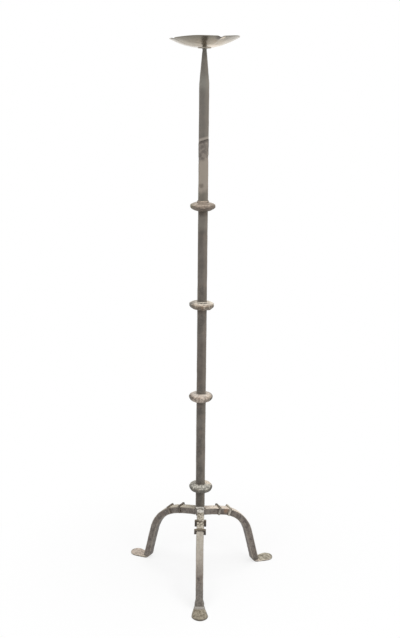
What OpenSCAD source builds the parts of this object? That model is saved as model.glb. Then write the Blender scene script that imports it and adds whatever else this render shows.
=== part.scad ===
// Torchere: a forged iron candle stand on three legs.
// Origin on the floor under the stem, +Z up, the front leg towards -Y.

/* [Stem] */
// Width of the square bar
stem_w = 25.4; // [18:0.1:32]
// Width of the flat along each corner of the bar
stem_chamfer = 2.5; // [0.5:0.1:4]
// Height of the shoulder that carries the pan
stem_top_z = 1473.6; // [1400:0.1:1520]
// Height of the shoulder over the thinnest place
shoulder_h = 3.6; // [2:0.1:8]
// Length of the taper, down from the thinnest place
taper_length = 84; // [50:0.5:150]
// Width of the thinnest place
neck_w = 10.5; // [8:0.1:16]
// Width of the shoulder
shoulder_w = 12; // [9:0.1:17]
// Distance of the weld below the shoulder, at the middle of the bar
weld_drop = 249.6; // [200:0.1:260]
// How far the weld falls from the front face to the back face
weld_fall = 46; // [10:1:60]
// How far the weld rises from the left face to the right face
weld_rise = 8; // [0:1:20]
// Width of the bar's foot, where it meets the legs
stem_foot_w = 20.5; // [17.5:0.1:25]
// Length of the bevel above the foot
stem_foot_bevel = 8; // [2:0.5:15]

/* [Collars] */
// Height of the top collar's widest place
knop_1_z = 1078; // [1020:1:1110]
// Height of the second collar's widest place
knop_2_z = 811; // [760:1:860]
// Height of the third collar's widest place
knop_3_z = 549; // [500:1:600]
// Height of the lowest collar's widest place
knop_4_z = 278; // [250:1:330]
// Width of a collar
knop_w = 66; // [52:0.5:80]
// Width of a collar's hub
knop_hub_w = 31; // [29:0.5:46]
// Height of a collar from its widest place up to its hub
knop_up = 9.5; // [5:0.5:12]
// Depth of a collar below its widest place
knop_down = 13.5; // [6:0.5:16]
// Height of the top collar's square hub above its crown
knop_hub_h = 3.9; // [2:0.1:8]
// Width of that square hub
knop_hub_square_w = 29.5; // [28.5:0.1:34]
// How sharp the edge of a collar with flats is; 1 is round
knop_edge_sharpness = 1.6; // [1:0.1:2.5]
// Diameter of the rounded edge before the eight flats are hammered
knop_edge_w = 69; // [66:0.5:84]
// Gap between a collar and the bar
knop_gap = 0.15; // [0.05:0.05:0.4]

/* [Legs] */
// Width of the square leg bar
leg_w = 20.3; // [14:0.1:22]
// Thickness of the bar in the shank, seen from the side
shank_t = 19.3; // [12:0.1:22]
// Height of the legs' underside at the stem
leg_under_z = 188.35; // [150:0.05:230]
// Direction of the left leg in degrees
leg_left_az = 148.6; // [140:0.1:160]
// Direction of the right leg in degrees
leg_right_az = 25.2; // [20:0.1:40]
// Radius of the first bend
root_bend_r = 45; // [30:1:80]
// Slope after the first bend in degrees
root_slope = 9.75; // [5:0.25:14]
// Length of the nearly straight run
run_length = 54.1; // [40:0.1:80]
// Slope at the end of that run in degrees
run_slope = 15.06; // [14.5:0.01:20]
// Radius of the knee
knee_r = 116.8; // [90:0.1:120]
// Slope of the shank in degrees
shank_slope = 75.8; // [68:0.1:82]

/* [Feet] */
// Thickness of a foot
foot_t = 4; // [3:0.1:7]
// Width of the front foot at its widest
foot_w = 45; // [32:0.5:60]
// Width of the front foot where the shank comes down
ankle_w = 27; // [23:0.5:31]
// Width of a side foot at its widest
foot_side_w = 42; // [32:0.5:60]
// Width of a side foot where the shank comes down
ankle_side_w = 23; // [21:0.5:31]
// Length from the shank's centreline to the widest place
foot_wide_length = 38; // [30:0.5:50]
// Length from the widest place to the tip
foot_tip_length = 20; // [12:0.5:26]
// Height at which the shank starts to widen
flare_z = 27; // [15:0.5:45]
// Width of the shank just above the foot
flare_w = 31; // [24:0.5:32]
// Radius of the bend on top of the ankle
ankle_r = 4.5; // [2:0.5:12]
// Radius of the heel under the ankle
heel_r = 16; // [6:0.5:18]

/* [Bands] */
// Thickness of the wire along the leg
band_wire = 5.3; // [3:0.1:8]
// Thickness of the wire over the top of the leg
band_top = 4.5; // [3:0.1:7]
// Gap between a band and the leg
band_gap = 0.1; // [0.05:0.05:0.4]
// How far a band's arms stop short of the leg's underside
band_short = 2.5; // [0:0.1:6]
// Distance of the front leg's inner band from the stem's axis
band_front_in = 61; // [50:1:66]
// Distance of the front leg's outer band from the stem's axis
band_front_out = 93; // [80:1:105]
// Distance of the left leg's inner band from the stem's axis
band_left_in = 62; // [50:1:66]
// Distance of the left leg's outer band from the stem's axis
band_left_out = 98; // [80:1:105]
// Distance of the right leg's inner band from the stem's axis
band_right_in = 56; // [45:1:66]
// Distance of the right leg's outer band from the stem's axis
band_right_out = 89; // [80:1:105]

/* [Base joint] */
// Diameter of the stem's tenon through the legs
tenon_d = 12; // [8:0.5:14]
// Gap round a tenon
tenon_gap = 0.15; // [0.05:0.05:0.4]
// Width of the round eye at a leg's root
eye_w = 25; // [20:0.5:30]
// Gap between an eye and the next leg
eye_gap = 0.3; // [0.1:0.1:1]
// Diameter of the washer under the legs
base_washer_d = 22; // [19:0.5:30]
// Thickness of the washer under the legs
base_washer_t = 2; // [1.5:0.5:5]
// Diameter of the riveted head under the washer
rivet_d = 16.5; // [16:0.5:18.5]
// Depth of the riveted head
rivet_t = 3; // [2:0.5:6]

/* [Drip pan] */
// Radius of the rim
pan_r = 88.9; // [70:0.1:110]
// Depth of the pan from rim to underside
pan_depth = 25.1; // [16:0.1:40]
// Thickness of the sheet
pan_t = 1.6; // [1:0.1:3]
// Diameter of the flat bottom
pan_flat_d = 34; // [34:0.5:44]
// How steeply the wall rises towards the rim
pan_curve = 1.65; // [1:0.05:2]
// Rise of the rim on the right and fall on the left
pan_lean = 3.1; // [0:0.1:6]
// Direction of the front right notch in degrees
notch_az = -62.3; // [-80:0.1:-50]
// Width of a notch
notch_w = 16; // [10:0.5:30]
// Depth of the front right notch
notch_1 = 5.5; // [0:0.1:8]
// Depth of the front left notch
notch_2 = 3; // [0:0.1:8]
// Depth of the two notches at the back
notch_3 = 4; // [0:0.1:8]
// Share of a notch's depth that is a slow fall of the whole lobe
notch_shoulder = 0.45; // [0:0.05:1]
// How far a notch draws the rim inwards
notch_pinch = 2.5; // [0:0.1:6]

/* [Pan joint] */
// Diameter of the washer under the pan
pan_washer_d = 34; // [24:0.5:34]
// Thickness of the washer under the pan
pan_washer_t = 1.8; // [1:0.1:3]
// Diameter of the neck's tenon through the pan
neck_tenon_d = 6; // [4:0.5:7]
// Height of that tenon above the pan's floor
neck_tenon_h = 9; // [5:0.5:14]
// Diameter of the pricket's flange
flange_d = 26; // [20:0.5:32]
// Thickness of the pricket's flange
flange_t = 3; // [2:0.5:5]
// Diameter of the pricket's boss
boss_d = 12; // [10:0.5:16]
// Height of the boss over the flange
boss_h = 9; // [8:0.5:14]
// Length of the spike over the boss
spike_h = 15; // [10:0.5:16]
// Diameter of the spike's tip
spike_tip_d = 1.2; // [0.6:0.1:3]

/* [Hidden] */
$fn = 64;

// The heights of the neck and the weld, down from the shoulder
weld_z = stem_top_z - weld_drop;
neck_z = stem_top_z - shoulder_h;
taper_start_z = neck_z - taper_length;

// The legs' heights and the stem's foot
leg_mid_z = leg_under_z + leg_w / 2;
leg_top_z = leg_under_z + leg_w;
eye_t = leg_w / 3;
tenon_hole_d = tenon_d + 2 * tenon_gap;
leg_start_r = eye_w / 2 + eye_gap;
leg_front_az = -90;

// The leg's centreline: a level start, two slow bends, the knee and a straight shank.
// A bend at slope a and radius r moves by r * sin(a) outwards and r * cos(a) downwards.
run_r = run_length * 180 / PI / (run_slope - root_slope);
level_end = [leg_start_r + 2.2, leg_mid_z];
run_start = bend_end(level_end, 0, root_slope, root_bend_r);
knee_start = bend_end(run_start, root_slope, run_slope, run_r);
knee_end = bend_end(knee_start, run_slope, shank_slope, knee_r);
bend_step = 3;

// Where the shank's centreline and its two faces meet a given height
shank_foot_r = shank_r(0);
half_across = shank_t / 2 / sin(shank_slope);
toe_bend = [shank_r(foot_t + ankle_r) + half_across + ankle_r / sin(shank_slope), foot_t + ankle_r];
heel_bend = [shank_r(heel_r) - half_across + heel_r / sin(shank_slope), heel_r];
foot_wide_r = shank_foot_r + foot_wide_length;
foot_tip_r = foot_wide_r + foot_tip_length;

// The heights of the pan's joint, from the stem's shoulder upwards
pan_under_z = stem_top_z + pan_washer_t;
pan_floor_z = pan_under_z + pan_t;
flange_top_z = pan_floor_z + flange_t;
boss_top_z = flange_top_z + boss_h;
neck_hole_d = neck_tenon_d + 2 * tenon_gap;
neck_tenon_top_z = pan_floor_z + neck_tenon_h;
pan_sides = 96;
pan_rings = 7;
cut = 1;

function bend_end(p, a0, a1, r) = p + r * [sin(a1) - sin(a0), cos(a1) - cos(a0)];
function bend_steps(a0, a1) = max(1, ceil((a1 - a0) / bend_step));

// Points of one bend, each moved across the bar by a distance that goes from side0 to side1
function bend_points(p, a0, a1, r, side0, side1) =
    let(n = bend_steps(a0, a1))
    [for (i = [0:n])
        let(a = a0 + (a1 - a0) * i / n, side = side0 + (side1 - side0) * i / n)
        bend_end(p, a0, a, r) + side * [sin(a), cos(a)]];
function face_points(half, half_shank) = concat(
    bend_points(level_end, 0, root_slope, root_bend_r, half, half),
    bend_points(run_start, root_slope, run_slope, run_r, half, half),
    bend_points(knee_start, run_slope, shank_slope, knee_r, half, half_shank));

function shank_r(z) = knee_end[0] + (knee_end[1] - z) / tan(shank_slope);

// Points of a small bend at the ankle, from the shank to level
function ankle_points(centre, r) =
    [for (i = [0:8])
        let(a = shank_slope * (1 - i / 8))
        centre - r * [sin(a), cos(a)]];

// Outline of a leg seen from its side, as distance from the stem and height
function leg_side_points() = concat(
    [[leg_start_r, leg_top_z]],
    face_points(leg_w / 2, shank_t / 2),
    ankle_points(toe_bend, ankle_r),
    [[foot_tip_r + cut, foot_t], [foot_tip_r + cut, 0]],
    reverse(ankle_points(heel_bend, heel_r)),
    reverse(face_points(-leg_w / 2, -shank_t / 2)),
    [[leg_start_r, leg_under_z]]);
function reverse(list) = [for (i = [len(list) - 1:-1:0]) list[i]];

// Outline of a foot from above: it widens from the heel, and ends in half an ellipse
function foot_plan_points(wide, ankle) = concat(
    [[shank_foot_r - leg_w, -leg_w / 2], [shank_foot_r, -ankle / 2]],
    [for (a = [-90:6:90]) [foot_wide_r + foot_tip_length * cos(a), wide / 2 * sin(a)]],
    [[shank_foot_r, ankle / 2], [shank_foot_r - leg_w, leg_w / 2]]);

// Outline of a foot and the widening shank, seen along the leg, as distance across and height
function foot_front_points(wide) =
    let(side = [[wide / 2, 0], [wide / 2, foot_t], [flare_w / 2, foot_t], [leg_w / 2, flare_z]])
    concat(side, [for (p = reverse(side)) [-p[0], p[1]]]);

// Slope and place of the leg's centreline at a distance from the stem
function leg_slope(r) = r < knee_start[0]
    ? asin(sin(root_slope) + (r - run_start[0]) / run_r)
    : asin(sin(run_slope) + (r - knee_start[0]) / knee_r);
function leg_t(r) = leg_w + (shank_t - leg_w)
    * max(0, (leg_slope(r) - run_slope) / (shank_slope - run_slope));
function leg_z(r) = r < knee_start[0]
    ? run_start[1] + run_r * (cos(leg_slope(r)) - cos(root_slope))
    : knee_start[1] + knee_r * (cos(leg_slope(r)) - cos(run_slope));

// The stem's outline, seen from one side, as distance across and height
function stem_outline() =
    let(side = [[stem_foot_w / 2, leg_top_z], [stem_w / 2, leg_top_z + stem_foot_bevel],
        [stem_w / 2, taper_start_z], [neck_w / 2, neck_z], [shoulder_w / 2, stem_top_z]])
    concat(side, [for (p = reverse(side)) [-p[0], p[1]]]);

// Height of the pan's underside and radius of a point, from the flat bottom (0) to the rim (1)
function turn_gap(a, b) = abs((a - b + 540) % 360 - 180);
notch_depths = [notch_1, notch_3, notch_3, notch_2];
function notch_gap(az, i) = turn_gap(az, notch_az + 90 * i);
function notch_cut(az, i) = exp(-pow(notch_gap(az, i) * PI / 180 * pan_r / (notch_w / 4), 2) / 2);
function notch_fall(az, i) = pow(cos(min(90, 2 * notch_gap(az, i))), 2);
function rim_drop(az) = notch_depths * [for (i = [0:3])
    notch_shoulder * notch_fall(az, i) + (1 - notch_shoulder) * notch_cut(az, i)];
function rim_pull(az) = notch_pinch * max([for (i = [0:3]) notch_cut(az, i)]);
function pan_point(az, t, lift) =
    let(r = pan_flat_d / 2 + (pan_r - pan_flat_d / 2) * t - rim_pull(az) * t * t * t)
    [r * cos(az), r * sin(az), pan_under_z + lift
        + (pan_depth - pan_t) * pow(t, pan_curve) + pan_lean * cos(az) * t - rim_drop(az) * t * t * t];
function pan_rows() = [for (i = [0:pan_rings]) i / pan_rings];
function quad(a, b, c, d) = [[a, b, c], [a, c, d]];

// A square bar with bevelled corners, cut to the stem's outline from both sides.
// The bevels fade out where the bar gets narrower.
module stem_blank() {
    intersection() {
        stem_prism(0);
        stem_prism(90);
        translate([0, 0, leg_top_z - cut])
            linear_extrude(height = stem_top_z - leg_top_z + 2 * cut)
                rotate(45)
                    square((2 * stem_w - 2 * stem_chamfer) / sqrt(2), center = true);
    }
}

module stem_prism(turn) {
    rotate([90, 0, turn])
        linear_extrude(height = 2 * stem_w, center = true)
            polygon(stem_outline());
}

// Everything below the slanting weld
module below_weld() {
    reach = weld_z;
    translate([0, 0, weld_z])
        rotate([0, -atan(weld_rise / stem_w), 0])
            rotate([-atan(weld_fall / stem_w), 0, 0])
                translate([-reach, -reach, -2 * reach])
                    cube(2 * reach);
}

module stem_upper() {
    color("dimgray") {
        difference() {
            stem_blank();
            below_weld();
        }
        translate([0, 0, stem_top_z - cut])
            cylinder(d = neck_tenon_d, h = neck_tenon_top_z - stem_top_z + cut);
    }
}

module stem_lower() {
    rivet_z = leg_under_z - base_washer_t;
    color("dimgray") {
        intersection() {
            stem_blank();
            below_weld();
        }
        translate([0, 0, rivet_z - cut])
            cylinder(d = tenon_d, h = leg_top_z - rivet_z + 2 * cut);
        translate([0, 0, rivet_z - rivet_t])
            rivet_head();
    }
}

// The tenon's end, hammered out to a low dome with a small flat at its middle
module rivet_head() {
    flat_a = 75;
    rotate_extrude()
        polygon(concat([[0, 0], [0, rivet_t]],
            [for (a = [0:15:flat_a]) [rivet_d / 2 * cos(a), rivet_t * (1 - sin(a) / sin(flat_a))]]));
}

// One collar with its widest place at height z; shift is how far its edge is off centre
module knop(z, shift, flats, hub) {
    bore_w = stem_w + 2 * knop_gap;
    translate([0, 0, z])
        difference() {
            union() {
                translate([shift, 0, 0])
                    knop_body(flats);
                if (hub)
                    translate([0, 0, knop_up - cut])
                        linear_extrude(height = knop_hub_h + cut)
                            bar_section(knop_hub_square_w, stem_chamfer);
            }
            linear_extrude(height = 4 * knop_w, center = true)
                bar_section(bore_w, stem_chamfer);
        }
}

// A round collar, or a wider one hammered to eight flats
module knop_body(flats) {
    if (flats)
        intersection() {
            knop_round(knop_edge_w / 2, knop_edge_sharpness);
            translate([0, 0, -knop_down - cut])
                rotate([0, 0, 22.5])
                    cylinder(d = knop_w / cos(22.5), h = knop_down + knop_up + 2 * cut, $fn = 8);
        }
    else
        knop_round(knop_w / 2, 1);
}

module knop_round(edge_r, sharpness) {
    rotate_extrude()
        polygon(knop_outline(edge_r, sharpness));
}

// Outline of a collar: a rounded crown down to the edge and a deeper curve below it
function knop_outline(edge_r, sharpness) =
    let(hub_r = knop_hub_w / 2, reach = edge_r - knop_hub_w / 2)
    concat([[0, knop_up], [hub_r, knop_up]],
        [for (a = [80:-10:-80])
            [hub_r + reach * pow(cos(a), sharpness), (a > 0 ? knop_up : knop_down) * sin(a)]],
        [[hub_r, -knop_down], [0, -knop_down]]);

// A square with its corners cut off
module bar_section(w, chamfer) {
    intersection() {
        square(w, center = true);
        rotate(45)
            square((2 * w - 2 * chamfer) / sqrt(2), center = true);
    }
}

module knop_1() {
    color("rosybrown")
        knop(knop_1_z, -0.6, true, true);
}

module knop_2() {
    color("rosybrown")
        knop(knop_2_z, -1.2, true, false);
}

module knop_3() {
    color("tan")
        knop(knop_3_z, -0.8, false, false);
}

module knop_4() {
    color("tan")
        knop(knop_4_z, 1.3, false, false);
}

// The leg's bar and foot, pointing along +X
module leg_bar(wide, ankle) {
    intersection() {
        rotate([90, 0, 0])
            linear_extrude(height = wide + 2 * cut, center = true)
                polygon(leg_side_points());
        union() {
            translate([0, -leg_w / 2, -cut])
                cube([foot_wide_r, leg_w, leg_top_z + 2 * cut]);
            foot_blank(wide, ankle);
        }
    }
}

// The fan of the foot, and the shank widening down to it
module foot_blank(wide, ankle) {
    intersection() {
        linear_extrude(height = flare_z)
            polygon(foot_plan_points(wide, ankle));
        rotate([90, 0, 90])
            linear_extrude(height = foot_tip_r + cut)
                polygon(foot_front_points(wide));
    }
}

// A leg in its direction; slot is its eye's place in the stack, 0 at the bottom
module leg(az, slot, wide, ankle) {
    eye_z = leg_under_z + slot * eye_t;
    rotate([0, 0, az])
        difference() {
            union() {
                leg_bar(wide, ankle);
                translate([0, 0, eye_z])
                    cylinder(d = eye_w, h = eye_t);
                translate([0, -leg_w / 2, eye_z])
                    cube([leg_start_r + cut, leg_w, eye_t]);
            }
            translate([0, 0, leg_under_z - cut])
                cylinder(d = tenon_hole_d, h = leg_w + 2 * cut);
        }
}

module leg_front() {
    color("gray")
        leg(leg_front_az, 2, foot_w, ankle_w);
}

module leg_left() {
    color("gray")
        leg(leg_left_az, 1, foot_side_w, ankle_side_w);
}

module leg_right() {
    color("gray")
        leg(leg_right_az, 0, foot_side_w, ankle_side_w);
}

module base_washer() {
    color("slategray")
        translate([0, 0, leg_under_z - base_washer_t])
            difference() {
                cylinder(d = base_washer_d, h = base_washer_t);
                translate([0, 0, -cut])
                    cylinder(d = tenon_hole_d, h = base_washer_t + 2 * cut);
            }
}

// One staple over a leg, square to the leg's line at distance r from the stem
module band(az, r) {
    inner_w = leg_w + 2 * band_gap;
    drop = leg_t(r) - band_short + band_gap;
    color("darkslategray")
        rotate([0, 0, az])
            translate([r, 0, leg_z(r)])
                rotate([0, leg_slope(r), 0])
                    translate([-band_wire / 2, 0, leg_t(r) / 2 + band_gap - drop])
                        difference() {
                            translate([0, -inner_w / 2 - band_wire, 0])
                                cube([band_wire, inner_w + 2 * band_wire, drop + band_top]);
                            translate([-cut, -inner_w / 2, -cut])
                                cube([band_wire + 2 * cut, inner_w, drop + cut]);
                        }
}

module band_front_inner() {
    band(leg_front_az, band_front_in);
}

module band_front_outer() {
    band(leg_front_az, band_front_out);
}

module band_left_inner() {
    band(leg_left_az, band_left_in);
}

module band_left_outer() {
    band(leg_left_az, band_left_out);
}

module band_right_inner() {
    band(leg_right_az, band_right_in);
}

module band_right_outer() {
    band(leg_right_az, band_right_out);
}

// The pan's sheet as one closed skin: underside, rim and inside
module pan_sheet() {
    rows = pan_rows();
    n = pan_sides;
    layer = n * len(rows);
    points = concat(
        [for (lift = [0, pan_t]) for (t = rows) for (k = [0:n - 1])
            pan_point(notch_az + 360 * k / n, t, lift)],
        [[0, 0, pan_under_z], [0, 0, pan_under_z + pan_t]]);
    under = [for (i = [0:pan_rings - 1]) for (k = [0:n - 1])
        each quad(i * n + k, i * n + (k + 1) % n, (i + 1) * n + (k + 1) % n, (i + 1) * n + k)];
    inside = [for (f = under) [f[2] + layer, f[1] + layer, f[0] + layer]];
    rim = [for (k = [0:n - 1])
        let(a = pan_rings * n + k, b = pan_rings * n + (k + 1) % n)
        each quad(a, b, b + layer, a + layer)];
    floor_under = [for (k = [0:n - 1]) [2 * layer, (k + 1) % n, k]];
    floor_inside = [for (k = [0:n - 1]) [2 * layer + 1, layer + k, layer + (k + 1) % n]];
    polyhedron(points, [for (f = concat(under, inside, rim, floor_under, floor_inside)) reverse(f)]);
}

module drip_pan() {
    color("darkkhaki")
        difference() {
            pan_sheet();
            translate([0, 0, pan_under_z - cut])
                cylinder(d = neck_hole_d, h = pan_t + 2 * cut);
        }
}

module pan_washer() {
    color("dimgray")
        translate([0, 0, stem_top_z])
            difference() {
                cylinder(d = pan_washer_d, h = pan_washer_t);
                translate([0, 0, -cut])
                    cylinder(d = neck_hole_d, h = pan_washer_t + 2 * cut);
            }
}

// The spike, its boss with a blind socket on the neck's tenon, and the flange under the candle
module pricket() {
    color("dimgray")
        difference() {
            translate([0, 0, pan_floor_z]) {
                cylinder(d = flange_d, h = flange_t);
                cylinder(d = boss_d, h = flange_t + boss_h);
                translate([0, 0, flange_t + boss_h])
                    cylinder(d1 = boss_d, d2 = spike_tip_d, h = spike_h);
            }
            translate([0, 0, pan_floor_z - cut])
                cylinder(d = neck_hole_d, h = neck_tenon_h + tenon_gap + cut);
        }
}

stem_upper();
stem_lower();
knop_1();
knop_2();
knop_3();
knop_4();
leg_front();
leg_left();
leg_right();
base_washer();
band_front_inner();
band_front_outer();
band_left_inner();
band_left_outer();
band_right_inner();
band_right_outer();
drip_pan();
pan_washer();
pricket();
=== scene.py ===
"""Looks for the torchere: hand-forged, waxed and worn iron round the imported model. Shapes are in mm."""
from functools import partial
from math import acos, asin, atan2, cos, degrees, exp, pi, radians, sin, sqrt, tan

import bmesh
import bpy
from mathutils import Matrix, Vector, noise


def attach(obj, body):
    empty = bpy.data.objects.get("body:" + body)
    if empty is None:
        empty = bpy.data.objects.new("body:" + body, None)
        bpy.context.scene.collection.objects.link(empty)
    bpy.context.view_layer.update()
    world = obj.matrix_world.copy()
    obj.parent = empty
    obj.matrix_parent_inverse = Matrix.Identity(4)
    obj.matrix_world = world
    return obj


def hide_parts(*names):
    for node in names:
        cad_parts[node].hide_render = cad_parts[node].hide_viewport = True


MM = 0.001
UP = Vector((0, 0, 1))

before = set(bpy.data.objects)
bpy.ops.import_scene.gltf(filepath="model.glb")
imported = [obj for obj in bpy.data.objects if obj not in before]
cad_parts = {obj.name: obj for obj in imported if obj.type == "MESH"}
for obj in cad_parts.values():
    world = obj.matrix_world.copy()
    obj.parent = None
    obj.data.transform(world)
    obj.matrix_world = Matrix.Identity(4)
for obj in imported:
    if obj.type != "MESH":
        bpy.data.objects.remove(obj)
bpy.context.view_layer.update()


# ------------ shapes

def wave(place, size, seed=0):
    """Smooth noise from -1 to 1 at a place, with bumps of the given size."""
    return noise.noise(Vector((place[0] / size + seed, place[1] / size - seed, place[2] / size)))


def dent(place, size, depth, seed=0):
    """How far hammer blows of the given size move a place inwards; on average they leave it where it is."""
    blow = wave(place, size, seed) * 0.7 + wave(place, size * 0.45, seed + 7) * 0.3
    return depth * min(0.6, max(-0.4, blow))


def smooth(low, high, value):
    """0 below low, 1 above high and a soft step between them."""
    t = min(1, max(0, (value - low) / (high - low)))
    return t * t * (3 - 2 * t)


def skin(rings, closed):
    """Points in metres and faces through rings of places with their edge marks. closed joins the last ring
    to the first; without it both ends get a fan of faces round a middle point."""
    count = len(rings[0])
    points = [tuple(MM * c for c in p) for ring in rings for p, mark in ring]
    faces = []
    for i in range(len(rings) - (0 if closed else 1)):
        a, b = i * count, (i + 1) % len(rings) * count
        for j in range(count):
            k = (j + 1) % count
            faces.append((a + j, a + k, b + k, b + j))
    if not closed:
        for first, turn in ((0, -1), (count * (len(rings) - 1), 1)):
            edge = [points[first + j] for j in range(count)]
            faces += [(first + j, first + (j + 1) % count, len(points))[::turn] for j in range(count)]
            points.append(tuple(sum(c) / count for c in zip(*edge)))
    return points, faces


SHARP = 35  # degrees between faces that show an edge


def new_object(name, data):
    """An object in the scene."""
    made = bpy.data.objects.new(name, data)
    bpy.context.scene.collection.objects.link(made)
    return made


def make_piece(name, node, rings, material, closed=False, sharp=SHARP):
    """A skin with its edge marks and material; it replaces a CAD node."""
    points, faces = skin(rings, closed)
    mesh = bpy.data.meshes.new(name)
    mesh.from_pydata(points, [], faces)
    mesh.validate()
    mesh.shade_smooth()
    mesh.set_sharp_from_angle(angle=radians(sharp))
    marks = [mark for ring in rings for p, mark in ring]
    edge = mesh.attributes.new("edge", "FLOAT", "POINT")
    edge.data.foreach_set("value", marks + [0] * (len(points) - len(marks)))
    mesh.materials.append(material)
    piece = new_object(name, mesh)
    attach(piece, "root")
    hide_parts(node)
    return piece


def add_shell(piece, rings, closed=False):
    """Joins one more skin to a piece's mesh and keeps the edge marks of the first."""
    shell = bpy.data.meshes.new("shell")
    points, faces = skin(rings, closed)
    shell.from_pydata(points, [], faces)
    whole = bmesh.new()
    whole.from_mesh(piece.data)
    whole.from_mesh(shell)
    bmesh.ops.recalc_face_normals(whole, faces=whole.faces)
    whole.to_mesh(piece.data)
    whole.free()
    bpy.data.meshes.remove(shell)
    piece.data.shade_smooth()
    piece.data.set_sharp_from_angle(angle=radians(SHARP))


FLAT_STEPS = (0.07, 0.22, 0.4, 0.6, 0.78, 0.93)
CORNER_STEPS = 3


def bar_section(half_x, half_y, radius):
    """A rectangle with round corners: each point's x, y, outward direction and nearness to an edge."""
    radius = min(radius, 0.85 * half_x, 0.85 * half_y)
    x, y = half_x - radius, half_y - radius
    corners = [(x, y), (-x, y), (-x, -y), (x, -y)]
    points = []
    for k, (cx, cy) in enumerate(corners):
        for j in range(CORNER_STEPS + 1):
            a = radians(90 * (k + j / CORNER_STEPS))
            c, s = cos(a), sin(a)
            points.append((cx + radius * c, cy + radius * s, c, s, 1))
        nx, ny = corners[(k + 1) % 4]
        for f in FLAT_STEPS:
            near = max(0, 1 - 9 * min(f, 1 - f))
            points.append((cx + (nx - cx) * f + radius * c, cy + (ny - cy) * f + radius * s, c, s, near))
    return points


def forged_bar(stations, radius, dents):
    """Rings of a bar. A station is (low, high, side, width): its section's two ends, its side and width."""
    rings = []
    for low, high, side, width in stations:
        middle, across = (low + high) / 2, (high - low).normalized()
        ring = []
        for x, y, nx, ny, near in bar_section(width / 2, (high - low).length / 2, radius):
            p = middle + side * x + across * y
            ring.append((p - (side * nx + across * ny) * dents(p), near))
        rings.append(ring)
    return rings


def round_ends(stations, radius, steps=3):
    """Adds shrinking stations at both ends, so that a bar's ends are rounded over."""
    def shrunk(at, beyond, share):
        low, high, side, width = at
        inwards = ((beyond[0] + beyond[1]) - (low + high)).normalized()
        pull = radius * (1 - cos(radians(90 * share)))
        along = inwards * radius * (1 - sin(radians(90 * share)))
        across = (high - low).normalized()
        return low + across * pull + along, high - across * pull + along, side, width - 2 * pull
    first, last = ([shrunk(at, beyond, 1 - k / steps) for k in range(steps)] + [shrunk(at, beyond, 0)]
                   for at, beyond in (stations[:2], stations[:-3:-1]))
    return first + stations[1:-1] + last[::-1]


def evenly(start, end, count):
    """Values from start to end, both taken in, in equal steps."""
    return [start + (end - start) * i / count for i in range(count + 1)]


def spaced(start, end, step):
    """Values from start to end, both taken in, about a step apart."""
    return evenly(start, end, max(1, round(abs(end - start) / step)))


def circle(count):
    """Directions spaced evenly round a circle."""
    return [2 * pi * j / count for j in range(count)]


def ring_point(turn, reach, z, shift=0):
    return Vector((reach * cos(turn) + shift, reach * sin(turn), z))


def level(turns, reaches, z, mark=0):
    """One level ring, each place with its own reach from the axis."""
    return [(ring_point(t, reach, z), mark) for t, reach in zip(turns, reaches)]


# ------------ stem

STEM_W = 25.4
STEM_TOP, STEM_FOOT = 1473.6, 208.65
NECK_Z, NECK_W, SHOULDER_W, TAPER_Z = 1470, 10.5, 12, 1386
WELD_Z, WELD_FALL, WELD_RISE = 1224, 46 / STEM_W, 8 / STEM_W
SCARF = 52
TENON_R, RIVET_R, RIVET_T, WASHER_T, DOME_END = 6, 8.25, 3, 2, radians(75)
NECK_TENON_R, NECK_TENON_TOP = 3, 1486


def stem_width(z):
    if z > NECK_Z:
        return NECK_W + (SHOULDER_W - NECK_W) * (z - NECK_Z) / (STEM_TOP - NECK_Z)
    if z > TAPER_Z:
        return STEM_W + (NECK_W - STEM_W) * (z - TAPER_Z) / (NECK_Z - TAPER_Z)
    return STEM_W - 4.9 * (1 - smooth(STEM_FOOT, STEM_FOOT + 8, z))


def below_weld(p):
    """How far a place on the bar lies below the slanting weld."""
    return WELD_Z + WELD_RISE * p[0] - WELD_FALL * p[1] - p[2]


def stem_dents(p):
    depth = dent(p, 34, 0.5) + dent(p, 11, 0.25, 3) - 0.08
    if p.z < STEM_FOOT + 9:
        return depth + dent(p, 5, 1.6, 8) * smooth(STEM_FOOT, STEM_FOOT + 1.5, p.z)
    d = below_weld(p)
    if d < 0:
        return depth - 0.5 * exp(d / 3)
    hollow = smooth(0, 2.5, d) * (1 - smooth(SCARF - 8, SCARF, d))
    return depth + hollow * (0.8 + dent(p, 8, 1.6, 11))


def stem_rings(heights):
    """Rings of the square bar; near the weld they lean with it."""
    rings = []
    for z in heights:
        width = stem_width(z)
        lean = 1 - smooth(0, 90, abs(z - WELD_Z))
        bevel = 2.6 * width / STEM_W
        ring = []
        for x, y, nx, ny, near in bar_section(width / 2, width / 2, bevel):
            p = Vector((x, y, z + lean * (WELD_RISE * x - WELD_FALL * y)))
            ring.append((p - Vector((nx, ny, 0)) * stem_dents(p), near))
        rings.append(ring)
    return rings


def make_stem(iron):
    lower = spaced(STEM_FOOT, STEM_FOOT + 12, 1.5) + spaced(STEM_FOOT + 16, WELD_Z - 70, 4)
    lower += spaced(WELD_Z - 68, WELD_Z - 1.5, 1.7)
    upper = spaced(WELD_Z, WELD_Z + 14, 1.2) + spaced(WELD_Z + 16, TAPER_Z, 3.5)
    upper += spaced(TAPER_Z + 3, NECK_Z, 3) + [STEM_TOP]
    for name, heights in (("stem_lower", lower + [WELD_Z]), ("stem_upper", upper)):
        bar = make_piece("bar_" + name[5:], name, stem_rings(heights), iron)
        if name == "stem_lower":
            add_rivet(bar)
        else:
            tenon = [(NECK_TENON_R, STEM_TOP - 1, 0), (NECK_TENON_R, NECK_TENON_TOP, 0)]
            add_shell(bar, round_rings(tenon))


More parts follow.
